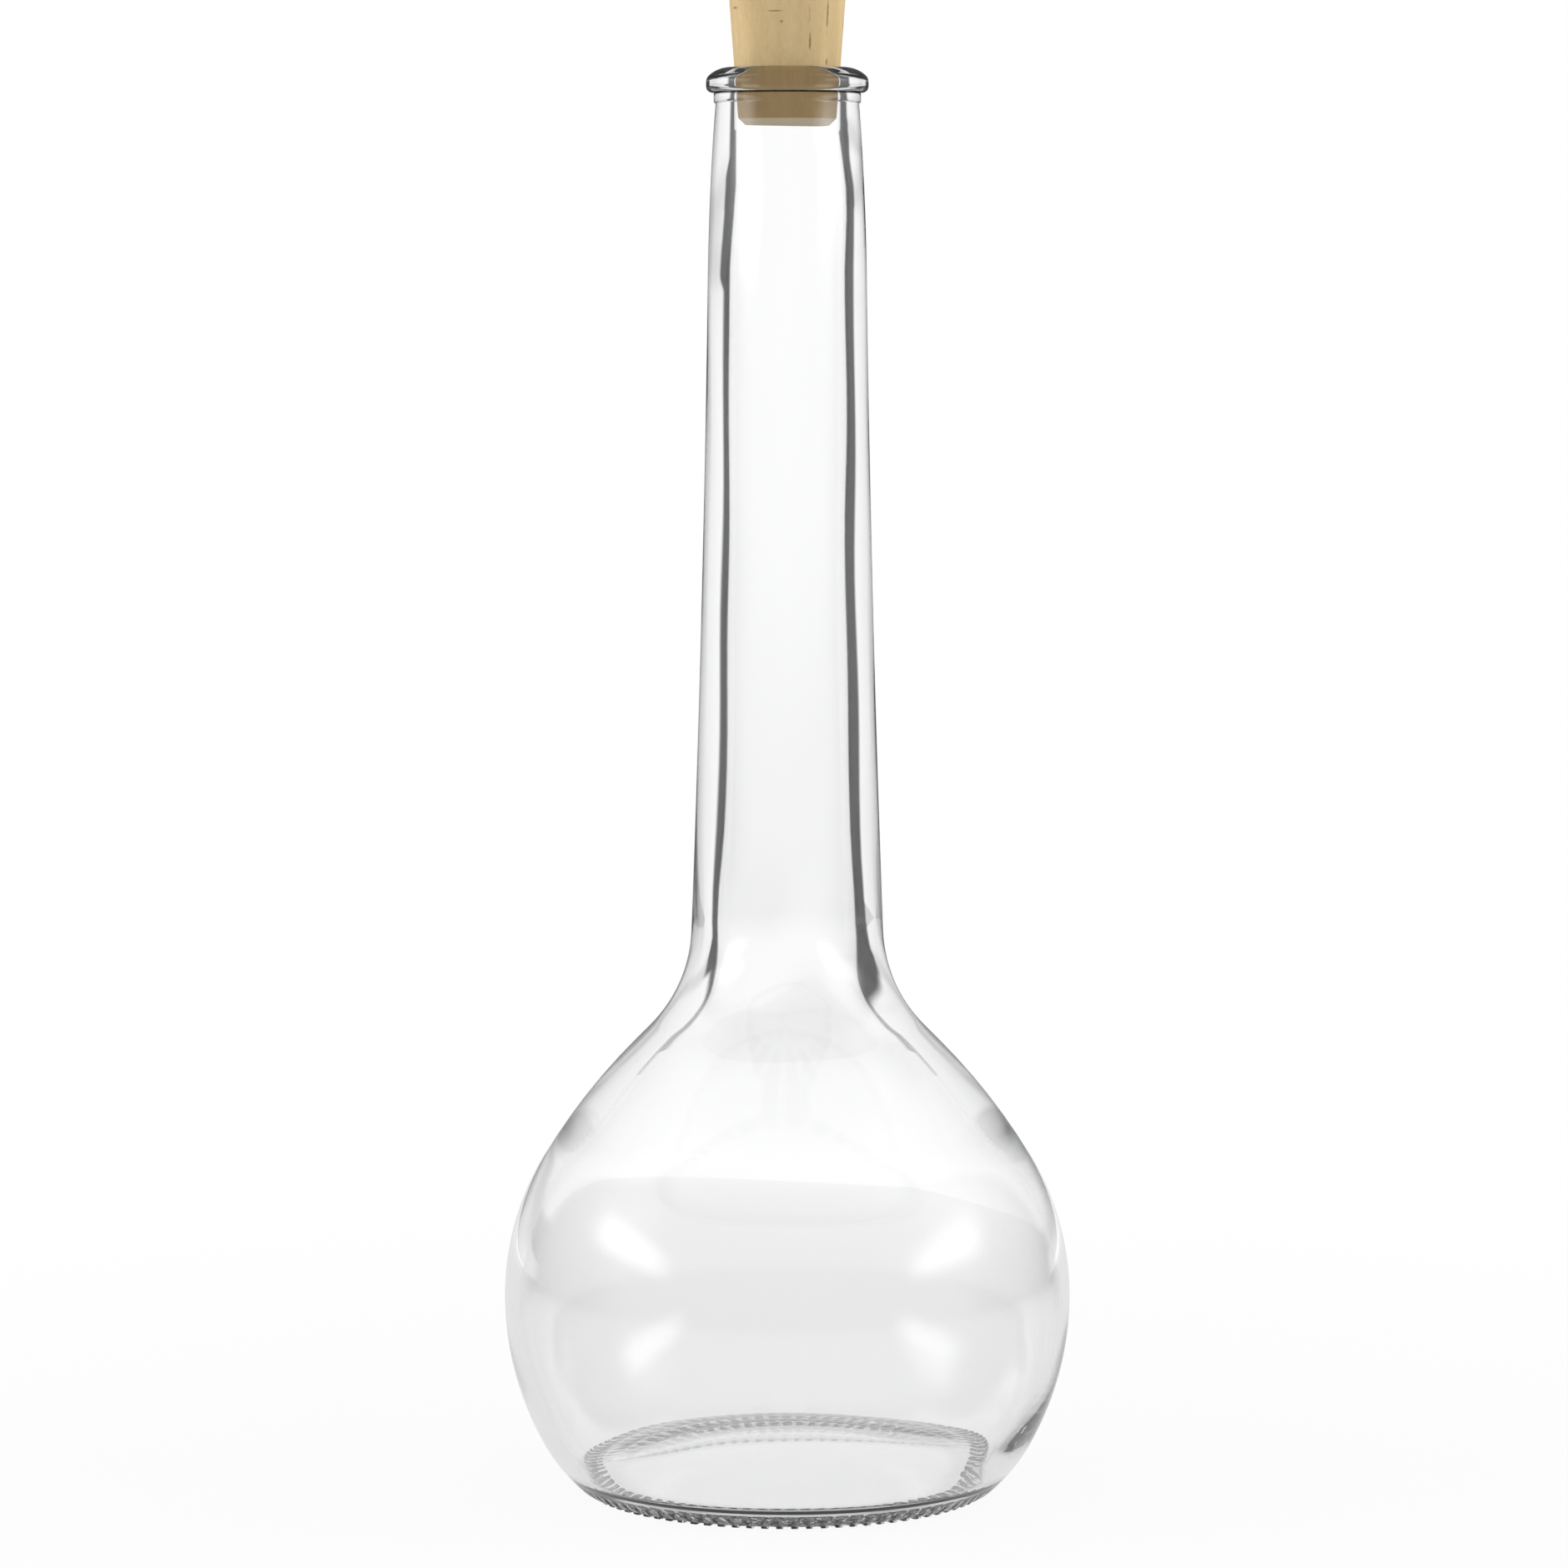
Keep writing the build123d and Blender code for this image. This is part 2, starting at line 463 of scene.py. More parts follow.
def draw_outer_wall(mesh, sizes):
    """Outer half of the section: punt, foot, belly, shoulder, neck, collar, lip and bore."""
    outside, mouth, base = sizes.outside, sizes.mouth, sizes.base
    down = Outline(mesh, outside.belly_radius, outside.belly_height, radians(-90))
    down.arc(outside.low_radius, -outside.low_angle)
    foot = down.arc_to(outside.foot_radius, base.knurl_height)
    down.line_to(outside.foot_radius - base.bearing_width, base.knurl_height)
    down.dome_to(base.punt_height)

    up = Outline(mesh, outside.belly_radius, outside.belly_height, radians(90))
    up.arc(outside.upper_radius, outside.upper_angle)
    up.arc(outside.shoulder_radius, outside.shoulder_angle)
    lean = up.heading
    up.line_to(
        up.tip.co.x + outside.shoulder_run * cos(lean),
        up.tip.co.z + outside.shoulder_run * sin(lean),
    )
    up.arc(outside.throat_radius, radians(90) + outside.neck_angle - lean)
    up.arc_to(outside.waist_radius, mouth.height - outside.waist_drop)
    collar_top = mouth.height - mouth.lip_height
    collar_base = collar_top - mouth.collar_height
    collar_radius = outside.top_radius + mouth.collar_step
    up.arc_to(outside.top_radius, collar_base)
    collar_edge = up.line_to(collar_radius, collar_base)
    up.line_to(collar_radius, collar_top - mouth.groove_height)
    up.line_to(collar_radius - mouth.groove_depth, collar_top)
    lip_edge = up.line_to(mouth.lip_radius, collar_top)
    up.line_to(mouth.lip_radius, mouth.height - mouth.lip_crown)
    flat_radius = mouth.bore_radius + mouth.mouth_round + mouth.lip_flat
    up.heading = radians(90)
    up.arc(mouth.lip_side, mouth.lip_side_turn)
    up.arc_to(flat_radius, mouth.height)
    mouth_edge = up.line_to(mouth.bore_radius, mouth.height)
    up.line_to(mouth.bore_radius, mouth.height - mouth.bore_depth)

    corners = (
        (foot, outside.foot_round),
        (collar_edge, mouth.collar_round),
        (lip_edge, mouth.lip_round),
        (mouth_edge, mouth.mouth_round),
    )
    for corner, rounding in corners:
        round_corner(mesh, corner, rounding)


def draw_inner_wall(mesh, sizes):
    """Inner half of the section: bore, neck, shoulder, belly and domed floor."""
    inside, mouth = sizes.inside, sizes.mouth
    radius = sizes.outside.belly_radius - inside.belly_wall
    height = sizes.outside.belly_height
    up = Outline(mesh, radius, height, radians(90))
    up.arc(inside.upper_radius, inside.upper_angle)
    lean = up.heading
    up.line_to(
        up.tip.co.x + inside.shoulder_run * cos(lean),
        up.tip.co.z + inside.shoulder_run * sin(lean),
    )
    up.arc(inside.throat_radius, radians(90) + inside.neck_angle - lean)
    up.arc_to(inside.waist_radius, mouth.height - inside.waist_drop)
    up.arc_to(mouth.bore_radius, mouth.height - mouth.bore_depth)

    down = Outline(mesh, radius, height, radians(-90))
    drop = (height - inside.floor_edge) / inside.low_radius
    edge = down.arc(inside.low_radius, -atan2(drop, (1 - drop ** 2) ** 0.5))
    down.dome_to(inside.floor_centre)
    round_corner(mesh, edge, inside.floor_round)


def round_corner(mesh, corner, rounding):
    """Rounds one corner of an outline."""
    bmesh.ops.bevel(
        mesh,
        geom=[corner],
        offset=rounding,
        offset_type="OFFSET",
        segments=CORNER_SEGMENTS,
        profile=0.5,
        affect="VERTICES",
        material=-1,
    )


def band(height, levels):
    """One between the two middle levels and nought outside the others, with soft steps."""
    return step(height, levels[0], levels[1]) * step(height, levels[3], levels[2])


def ripple_wall(mesh, sizes):
    """Makes the inner wall drift and ripple slightly between floor and cork, as in blown glass."""
    inside = sizes.inside
    for vert in mesh.verts:
        height = vert.co.z / MM
        reach = hypot(vert.co.x, vert.co.y)
        if reach < STILL_REACH:
            continue
        around = atan2(vert.co.y, vert.co.x)
        share = BODY_SHARE * band(height, BODY_RIPPLE) + band(height, SHOULDER_RIPPLE)
        wave = sum(
            size * sin(count * around + rise * vert.co.z + start)
            for size, count, rise, start in WAVES
        )
        grow = 1 + share * inside.ripple * wave / reach
        vert.co.x *= grow
        vert.co.y *= grow
        vert.co.x += inside.neck_drift * band(height, NECK_DRIFT)
        vert.co.x += inside.belly_drift * band(height, BELLY_DRIFT)


def raise_knurls(mesh, sizes, segments):
    """Raises every other pair of sectors of the bearing ring, and rounds the knurls."""
    base = sizes.base
    outer = sizes.outside.foot_radius
    chosen = []
    for face in mesh.faces:
        middle = face.calc_center_median()
        reach = hypot(middle.x, middle.y)
        level = abs(middle.z - base.knurl_height) < 0.01 * MM
        if not level or not outer - base.bearing_width < reach < outer:
            continue
        sector = round(atan2(middle.y, middle.x) / (2 * pi) * segments - 0.5) % SECTORS_PER_KNURL
        if sector in (0, SECTORS_PER_KNURL - 1):
            chosen.append(face)
    made = bmesh.ops.extrude_face_region(mesh, geom=chosen)["geom"]
    feet = [part for part in made if isinstance(part, bmesh.types.BMVert)]
    bmesh.ops.translate(mesh, verts=feet, vec=(0, 0, -base.knurl_height))
    edges = [part for part in made if isinstance(part, bmesh.types.BMEdge)]
    rim = [
        edge
        for edge in edges
        if len({face.normal.z < -LEVEL_NORMAL for face in edge.link_faces}) == 2
    ]
    bmesh.ops.bevel(
        mesh,
        geom=rim,
        offset=base.knurl_bevel,
        offset_type="OFFSET",
        segments=KNURL_EDGE_SEGMENTS,
        profile=0.5,
        affect="EDGES",
        material=-1,
    )


# Face attribute: how far a face must turn away from the light's path before painted shade darkens
# it into a dark outline
PAINTED_SHADE_START = "painted_shade_start"
NEVER_DARK, ALWAYS_DARK = 2, -1
FLOOR_TOP = 10.5 * MM
PUNT_TOP, PUNT_REACH = 5.8 * MM, 38 * MM
SHOULDER_REACH = (22 * MM, 32 * MM)
GROOVE_DROP = (4.45 * MM, 4.85 * MM)

# Change of the facing value over which painted shade darkens a face, and where the painted dark
# heel line darkens
PAINTED_SHADE_WIDTH = 0.1
HEEL_FACING = (0.26, 0.32)
# Where the glass takes the painted dark heel line, and the foot bars with their painted dark
# specks: reach from the axis and height, as (from, full from, full to, to)
HEEL_LINE = (
    (40.2 * MM, 40.6 * MM, 43.2 * MM, 43.6 * MM),
    (3.45 * MM, 3.55 * MM, 4.2 * MM, 4.35 * MM),
)
FOOT_BARS = ((34 * MM, 36 * MM, 60 * MM, 61 * MM), (-2 * MM, -1 * MM, 1.7 * MM, 3 * MM))
# The bars' raggedness and height, and the heights at which their dark specks of painted shade
# begin and are darkest
BAR_RAGGEDNESS, BAR_HEIGHT = 6, 0.4
FLECK_HEIGHTS, FLECK_DARKNESS = (0.5, 0.62), 0.95


def mark_painted_shade(face, layer, inner, look):
    """Keeps on a face where painted shade starts to darken it into a dark outline. The floor and
    the underside stay clear.
    """
    middle = face.calc_center_median()
    reach = hypot(middle.x, middle.y)
    drop = BOTTLE_HIGH.z - middle.z
    level = middle.z < FLOOR_TOP and abs(face.normal.z) > LEVEL_NORMAL
    if level or middle.z < PUNT_TOP and reach < PUNT_REACH:
        face[layer] = NEVER_DARK
    elif inner:
        share = step(reach, *SHOULDER_REACH)
        face[layer] = look.inline + (look.inline_belly - look.inline) * share
    elif GROOVE_DROP[0] < drop < GROOVE_DROP[1]:
        face[layer] = ALWAYS_DARK
    else:
        face[layer] = look.outline


def clear_glass(look, knurl_count):
    """Clear glass that darkens where light goes far in it. Painted shade gives it dark outlines at
    grazing angles, a dark heel line and dark specks on the uneven bars round the foot; its surface
    has a faint wave."""
    material = bpy.data.materials.new("clear_glass")
    nodes = Nodes(material)
    facing = nodes.put("LayerWeight", {"Blend": 0.5}).outputs["Facing"]
    place = nodes.put("TexCoord", {}).outputs["Object"]
    start = nodes.put("Attribute", {}, attribute_name=PAINTED_SHADE_START).outputs["Fac"]
    x, y, z = nodes.put("SeparateXYZ", {"Vector": place}).outputs
    level = nodes.put("VectorMath", {0: place, 1: (1, 1, 0)}, operation="MULTIPLY").outputs[0]
    reach = nodes.put("VectorMath", {0: level}, operation="LENGTH").outputs["Value"]
    shader = material.node_tree.nodes["Principled BSDF"]
    shader.inputs["Roughness"].default_value = 0
    shader.inputs["IOR"].default_value = look.ior

    # The painted edge shade is left off light that has scattered on the cork
    painted_edge_shade = nodes.fade(facing, start, nodes.math("ADD", start, PAINTED_SHADE_WIDTH), 0, 1)
    scattered = nodes.put("LightPath", {}).outputs["Diffuse Depth"]
    painted_edge_shade = nodes.math("MULTIPLY", painted_edge_shade, nodes.math("LESS_THAN", scattered, 0.5))

    # Painted shade: a dark heel line, where the glass lets no light through and takes the edge
    # colour
    painted_heel_shade = nodes.patch(reach, z, *HEEL_LINE)
    painted_heel_shade = nodes.math("MULTIPLY", painted_heel_shade, nodes.fade(facing, *HEEL_FACING, 0, 1))
    rough = nodes.noise(place, stretch=(1, 1, 1), scale=700, detail=2)
    turns = nodes.math("MULTIPLY", nodes.math("ARCTAN2", y, x), knurl_count)
    turns = nodes.math("ADD", turns, nodes.math("MULTIPLY", rough, BAR_RAGGEDNESS))
    bars = nodes.math("MULTIPLY", nodes.math("SINE", turns), BAR_HEIGHT)
    bars = nodes.math("ADD", bars, rough)
    foot = nodes.patch(reach, z, *FOOT_BARS)
    # Painted shade: dark specks on the peaks of the bars, which let less light through and take
    # the edge colour
    painted_shade_flecks = nodes.fade(bars, *FLECK_HEIGHTS, 0, FLECK_DARKNESS)
    painted_shade_flecks = nodes.math("MULTIPLY", painted_shade_flecks, foot)
    bars = nodes.math("MULTIPLY", bars, foot)
    dark = nodes.math("MAXIMUM", painted_heel_shade, painted_shade_flecks)
    shader.inputs["Transmission Weight"].default_value = 1
    nodes.join(nodes.math("SUBTRACT", 1, dark), shader.inputs["Transmission Weight"])
    dark = nodes.math("MAXIMUM", painted_edge_shade, dark)
    nodes.join(nodes.colour(dark, look.tint, look.edge), shader.inputs["Base Color"])

    wave = nodes.noise(place, stretch=(1, 1, 0.5), scale=45, detail=1)
    normal = nodes.bump(wave, strength=look.wave, distance=2 * MM)
    moulded = {"Height": bars, "Strength": 1, "Distance": look.foot_relief, "Normal": normal}
    nodes.join(nodes.put("Bump", moulded).outputs["Normal"], shader.inputs["Normal"])
    depth = nodes.put("VolumeAbsorption", {"Color": look.depth, "Density": look.density})
    output = material.node_tree.nodes["Material Output"]
    nodes.join(depth.outputs[0], output.inputs["Volume"])
    return material


class GENIE_OT_bottle(Operator):
    """Make the glass bottle: one turned wall with its lip, collar, punt and knurls"""

    bl_idname = "genie.bottle"
    bl_label = "Glass bottle"

    def execute(self, context):
        sizes = context.scene.genie
        segments = sizes.base.knurl_count * SECTORS_PER_KNURL
        mesh = bmesh.new()
        draw_inner_wall(mesh, sizes)
        turn_round(mesh, mesh.verts[:] + mesh.edges[:], segments)
        ripple_wall(mesh, sizes)
        layer = mesh.faces.layers.float.new(PAINTED_SHADE_START)
        for face in mesh.faces:
            mark_painted_shade(face, layer, True, sizes.glass)
        inner = set(mesh.verts)
        draw_outer_wall(mesh, sizes)
        outline = [vert for vert in mesh.verts if vert not in inner]
        outline += [edge for edge in mesh.edges if not inner.intersection(edge.verts)]
        for face in turn_round(mesh, outline, segments):
            mark_painted_shade(face, layer, False, sizes.glass)
        close_seams(mesh)
        raise_knurls(mesh, sizes, segments)
        glass = clear_glass(sizes.glass, sizes.base.knurl_count)
        bottle = finish_piece(mesh, "glass_bottle", glass, radians(50))
        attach(bottle, "bottle_body")
        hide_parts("bottle")
        return {"FINISHED"}


# Cork

CORK_SEGMENTS = 128
# Depths under the mouth between which the cork changes to its darker tone in the mouth
IN_MOUTH_FADE = (0.6 * MM, 2.2 * MM)
# Where the pores lie: distance from the axis, and half their depth
PORE_REACH, PORE_DEPTH = 10 * MM, 2 * MM

# Pores in the side of the cork: bearing, depth under its top, half width and half height
LENTICELS = (
    (radians(-45.5), 7.0 * MM, 0.3 * MM, 3.2 * MM),
    (radians(-66), 11.8 * MM, 0.28 * MM, 1.7 * MM),
    (radians(-43.5), 15.4 * MM, 0.35 * MM, 0.7 * MM),
    (radians(-102.5), 6.3 * MM, 1.7 * MM, 0.16 * MM),
    (radians(-96), 8.2 * MM, 0.3 * MM, 0.26 * MM),
    (radians(35), 9.0 * MM, 0.4 * MM, 2.2 * MM),
    (radians(70), 14.0 * MM, 1.3 * MM, 0.25 * MM),
    (radians(128), 7.0 * MM, 0.4 * MM, 1.8 * MM),
    (radians(176), 11.5 * MM, 0.45 * MM, 2.4 * MM),
    (radians(205), 5.5 * MM, 1.1 * MM, 0.25 * MM),
)


def natural_cork(look):
    """Natural cork: soft upright bands, fine grain, bark filled pores and pale cut ends, whose
    colour is partly painted light on the lower bevel.
    """
    material = bpy.data.materials.new("natural_cork")
    nodes = Nodes(material)
    coordinates = nodes.put("TexCoord", {})
    place = coordinates.outputs["Object"]

    bands = nodes.noise(place, stretch=(1, 1, 0.08), scale=190, detail=2)
    bands = nodes.fade(bands, 0.34, 0.68, 0, 1)
    grain = nodes.noise(place, stretch=(1, 1, 0.4), scale=1500, detail=4)
    grain = nodes.fade(grain, 0.35, 0.7, 0, 1)
    body = nodes.colour(bands, look.tan, look.pale)
    body = nodes.colour(nodes.math("MULTIPLY", grain, 0.16), body, look.dark)

    pores = nodes.noise(place, stretch=(1, 1, 0.3), scale=330, detail=2)
    pores = nodes.fade(pores, 0.7, 0.76, 0, 0.8)
    rough = nodes.noise(place, stretch=(1, 1, 1), scale=1200, detail=2)
    for bearing, depth, half_width, half_height in LENTICELS:
        x, y = PORE_REACH * cos(bearing), PORE_REACH * sin(bearing)
        mapping = nodes.put(
            "Mapping",
            {
                "Vector": place,
                "Location": (x, y, CORK_HIGH.z - depth),
                "Rotation": (0, 0, bearing),
                "Scale": (PORE_DEPTH, half_width, half_height),
            },
            vector_type="TEXTURE",
        )
        distance = nodes.put("VectorMath", {0: mapping.outputs[0]}, operation="LENGTH")
        ragged = nodes.math("ADD", distance.outputs["Value"], nodes.math("MULTIPLY", rough, 0.9))
        pores = nodes.math("MAXIMUM", pores, nodes.fade(ragged, 0.9, 1.6, 0.75, 0))
    body = nodes.colour(pores, body, look.pore)
    # The cork is darker and warmer inside the mouth
    height = nodes.put("SeparateXYZ", {"Vector": place}).outputs["Z"]
    depth = nodes.math("SUBTRACT", BOTTLE_HIGH.z, height)
    in_mouth = nodes.fade(depth, *IN_MOUTH_FADE, 0, 1)
    tone = nodes.colour(in_mouth, (1, 1, 1, 1), look.in_mouth)
    body = nodes.put(
        "Mix", {"Factor": 1, "A": body, "B": tone}, data_type="RGBA", blend_type="MULTIPLY"
    ).outputs["Result"]

    upright = nodes.put("SeparateXYZ", {"Vector": coordinates.outputs["Normal"]}).outputs["Z"]
    # Ends and bevels take the end colour: paler cut grain, with painted light on the lower bevel
    ends = nodes.fade(nodes.math("ABSOLUTE", upright), 0.3, 0.6, 0, 0.85)
    shader = material.node_tree.nodes["Principled BSDF"]
    shader.inputs["Roughness"].default_value = 0.86
    shader.inputs["Specular IOR Level"].default_value = 0.25
    nodes.join(nodes.colour(ends, body, look.end), shader.inputs["Base Color"])
    relief = nodes.math("SUBTRACT", nodes.math("MULTIPLY", grain, 0.3), pores)
    normal = nodes.bump(relief, strength=0.35, distance=0.25 * MM)
    nodes.join(normal, shader.inputs["Normal"])
    return material


class GENIE_OT_cork(Operator):
    """Make the tapered natural cork that closes the mouth"""

    bl_idname = "genie.cork"
    bl_label = "Tapered cork"

    def execute(self, context):
        sizes = context.scene.genie.cork
        low, high = CORK_LOW.z, CORK_HIGH.z
        base_radius = sizes.base_radius
        top_radius = base_radius + (high - low) * sizes.taper
        mesh = bmesh.new()
        side = Outline(mesh, 0, low, 0)
        side.line_step = 1 * MM
        corners = [
            side.line_to(base_radius - sizes.base_bevel, low),
            side.line_to(base_radius + sizes.base_bevel * sizes.taper, low + sizes.base_bevel),
            side.line_to(top_radius - sizes.top_bevel * sizes.taper, high - sizes.top_bevel),
            side.line_to(top_radius - sizes.top_bevel, high),
        ]
        side.line_to(0, high)
        for corner in corners:
            round_corner(mesh, corner, sizes.soft_edge)
        turn_round(mesh, mesh.verts[:] + mesh.edges[:], CORK_SEGMENTS)
        material = natural_cork(context.scene.genie.cork_look)
        cork = finish_piece(mesh, "tapered_cork", material, radians(60))
        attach(cork, "cork_body")
        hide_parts("cork_stopper")
        return {"FINISHED"}


# Studio

FLOOR_SEGMENTS = 96
GLASS_BOUNCES = 40
LAMP_TARGET = Vector((0, 0, 0.14))
# Width and height of the lamps, and how far they stand in front of the bottle and above the floor
SIDE_LAMP_SIZE, TOP_LAMP_SIZE = (0.9, 0.6), (0.8, 0.8)
SIDE_LAMP_FRONT, SIDE_LAMP_HEIGHT, TOP_LAMP_FRONT = 0.15, 0.35, 0.2
# Soft left and right edge of the screen behind the object, and how far each comes in at eye level
SCREEN_LEFT, SCREEN_RIGHT = (-0.81, -0.7), (0.59, 0.71)
LEFT_INSET, RIGHT_INSET = 0.14, 0.04
# Soft patches on a soft box: across and up, as (from, full from, full to, to) in metres
BOX_GLOW = ((-0.6, -0.15, -0.15, 0.3), (0.1, 0.45, 0.45, 0.8))
BOX_STRIP = ((-0.75, -0.42, -0.1, 0.15), (0.22, 0.34, 0.37, 0.52))
# Heights of view directions: where that screen is narrower, and where it is dimmer
NARROW_LEVELS, DIM_LEVELS = (0, 0.03, 0.08, 0.16), (-0.03, 0.04, 0.06, 0.15)
# Ring of painted shadow on the floor under the foot, and distances over which the floor's
# brightness changes, darker near the bottle as painted shadow
PAINTED_SHADOW_RING = (29 * MM, 33 * MM, 38.5 * MM, 42 * MM)
WHITE_FADE, INSIDE_FADE = (0.08, 0.4), (0.05, 0.08)
FAR_FADE, MIRROR_FADE = (0.1, 0.85), (0.15, 0.7)
# Depth over which the mirrored room goes from what is behind the camera to what is before it
ROOM_FADE, SCREEN_FADE = (-0.3, 0.1), (-0.1, 0.2)
# Heights of view directions over which the ceiling and the backdrop begin
CEILING_FADE, BACKDROP_FADE = (0.35, 0.95), (-0.16, -0.03)


def bright_screen(nodes, x, y, z):
    """How much of the white screen behind the object lies in a direction."""
    waist = nodes.band(z, NARROW_LEVELS)
    left = nodes.math("SUBTRACT", x, nodes.math("MULTIPLY", waist, LEFT_INSET))
    right = nodes.math("ADD", x, nodes.math("MULTIPLY", waist, RIGHT_INSET))
    left, right = nodes.fade(left, *SCREEN_LEFT, 0, 1), nodes.fade(right, *SCREEN_RIGHT, 1, 0)
    width = nodes.math("MULTIPLY", left, right)
    return nodes.math("MULTIPLY", width, nodes.fade(y, *SCREEN_FADE, 0, 1))


def pale_floor(look):
    """Pale matt floor that looks white and keeps a soft shadow. Glass mirrors it dimmer, and
    through glass it shows painted shadow under and round the foot.
    """
    material = bpy.data.materials.new("pale_floor")
    nodes = Nodes(material)
    path = nodes.put("LightPath", {}).outputs
    seen = nodes.math("MAXIMUM", path["Is Camera Ray"], path["Is Glossy Ray"])
    seen = nodes.math("MAXIMUM", seen, path["Is Transmission Ray"])
    still = nodes.math("SUBTRACT", 1, nodes.math("MINIMUM", path["Diffuse Depth"], 1))
    mirrored = nodes.math("MULTIPLY", nodes.math("MINIMUM", path["Glossy Depth"], 1), still)
    place = nodes.put("TexCoord", {}).outputs["Object"]
    distance = nodes.put("VectorMath", {0: place}, operation="LENGTH").outputs["Value"]
    share = nodes.fade(distance, *WHITE_FADE, look.floor_white, 1)
    # Painted shadow: seen through glass the floor is darker under and near the bottle, and
    # brighter far off
    near = nodes.fade(distance, *INSIDE_FADE, look.floor_inside, look.floor_beside)
    through = nodes.fade(distance, *FAR_FADE, 0, look.floor_far - look.floor_beside)
    through = nodes.math("ADD", near, through)
    heading = nodes.put("VectorMath", {0: place}, operation="NORMALIZE").outputs[0]
    x, y, z = nodes.put("SeparateXYZ", {"Vector": heading}).outputs
    room = nodes.fade(y, *ROOM_FADE, look.room_front, look.room)
    behind = nodes.between(bright_screen(nodes, x, y, z), room, look.floor_mirrored)
    far = nodes.between(nodes.fade(distance, *MIRROR_FADE, 0, 1), look.floor_mirrored, behind)
    # Painted shadow in a ring under the foot, left off camera rays
    painted_contact_shadow = nodes.between(nodes.band(distance, PAINTED_SHADOW_RING), 1, look.painted_contact_shadow)
    strength = nodes.between(mirrored, through, far)
    strength = nodes.math("MULTIPLY", strength, painted_contact_shadow)
    strength = nodes.between(path["Is Camera Ray"], strength, 1)
    glow = nodes.put("Emission", {"Color": (1, 1, 1, 1), "Strength": strength})
    shader = material.node_tree.nodes["Principled BSDF"]
    shader.inputs["Base Color"].default_value = look.floor
    shader.inputs["Roughness"].default_value = 0.9
    blend = nodes.put(
        "MixShader",
        {"Fac": nodes.math("MULTIPLY", seen, share), 1: shader.outputs[0], 2: glow.outputs[0]},
    )
    nodes.join(blend.outputs[0], material.node_tree.nodes["Material Output"].inputs["Surface"])
    return material


def studio_world(look):
    """White background with a plain fill light. What glass mirrors is a dim room with a pale
    ceiling, and inside the glass also a white screen behind the object."""
    world = bpy.data.worlds.new("studio")
    bpy.context.scene.world = world
    nodes = Nodes(world)
    direction = nodes.put("TexCoord", {}).outputs["Generated"]
    x, y, z = nodes.put("SeparateXYZ", {"Vector": direction}).outputs

    room = nodes.fade(y, *ROOM_FADE, look.room_front, look.room)
    room = nodes.between(nodes.fade(z, *CEILING_FADE, 0, 1), room, look.ceiling)
    screen = nodes.between(nodes.band(z, DIM_LEVELS), look.screen, look.screen_level)
    bright_room = nodes.between(bright_screen(nodes, x, y, z), room, screen)

    path = nodes.put("LightPath", {}).outputs
    mirrored = nodes.math("MINIMUM", path["Glossy Depth"], 1)
    scattered = nodes.math("MINIMUM", path["Diffuse Depth"], 1)
    backdrop = nodes.fade(z, *BACKDROP_FADE, look.floor_far, look.backdrop)
    through = nodes.between(mirrored, backdrop, bright_room)
    through = nodes.between(scattered, through, look.fill_through)
    level = nodes.between(path["Is Camera Ray"], look.fill, 1)
    level = nodes.between(path["Is Glossy Ray"], level, room)
    level = nodes.between(path["Is Transmission Ray"], level, through)
    background = world.node_tree.nodes["Background"]
    background.inputs["Color"].default_value = (1, 1, 1, 1)
    nodes.join(level, background.inputs["Strength"])


def soft_box(name, side, look):
    """A soft box beside the object, with a brighter strip across it. Only glass mirrors it."""
    mesh = bmesh.new()
    upright = Matrix.Rotation(radians(90), 4, "Y")
    place = Matrix.Translation((side * look.box_distance, 0, 0)) @ upright
    bmesh.ops.create_grid(mesh, x_segments=1, y_segments=1, size=1, matrix=place)
    data = bpy.data.meshes.new(name)
    mesh.to_mesh(data)
    mesh.free()
    material = bpy.data.materials.new(name)
    nodes = Nodes(material)
    place = nodes.put("TexCoord", {}).outputs["Object"]
    x, y, z = nodes.put("SeparateXYZ", {"Vector": place}).outputs
    wide = nodes.math("MULTIPLY", nodes.patch(y, z, *BOX_GLOW), look.soft_box)
    strip = nodes.math("MULTIPLY", nodes.patch(y, z, *BOX_STRIP), look.soft_box_strip)
    glow = nodes.math("ADD", wide, strip)
    path = nodes.put("LightPath", {}).outputs
    glow = nodes.math("MULTIPLY", glow, nodes.math("MINIMUM", path["Glossy Depth"], 1))
    clear = nodes.put("BsdfTransparent", {})
    light = nodes.put("Emission", {"Color": (1, 1, 1, 1), "Strength": glow})
    blend = nodes.put("AddShader", {0: clear.outputs[0], 1: light.outputs[0]})
    nodes.join(blend.outputs[0], material.node_tree.nodes["Material Output"].inputs["Surface"])
    data.materials.append(material)
    box = bpy.data.objects.new(name, data)
    box.visible_camera = False
    box.visible_diffuse = False
    box.visible_shadow = False
    bpy.context.scene.collection.objects.link(box)


def add_lamp(name, power, size, place):
    """A large soft lamp that looks at the middle of the bottle. Glass doesn't mirror it."""
    data = bpy.data.lights.new(name, "AREA")
    data.energy = power
    data.shape = "RECTANGLE"
    data.size, data.size_y = size
    lamp = bpy.data.objects.new(name, data)
    lamp.location = place
    lamp.rotation_euler = (LAMP_TARGET - Vector(place)).to_track_quat("-Z", "Y").to_euler()
    lamp.visible_glossy = False
    lamp.visible_transmission = False
    bpy.context.scene.collection.objects.link(lamp)


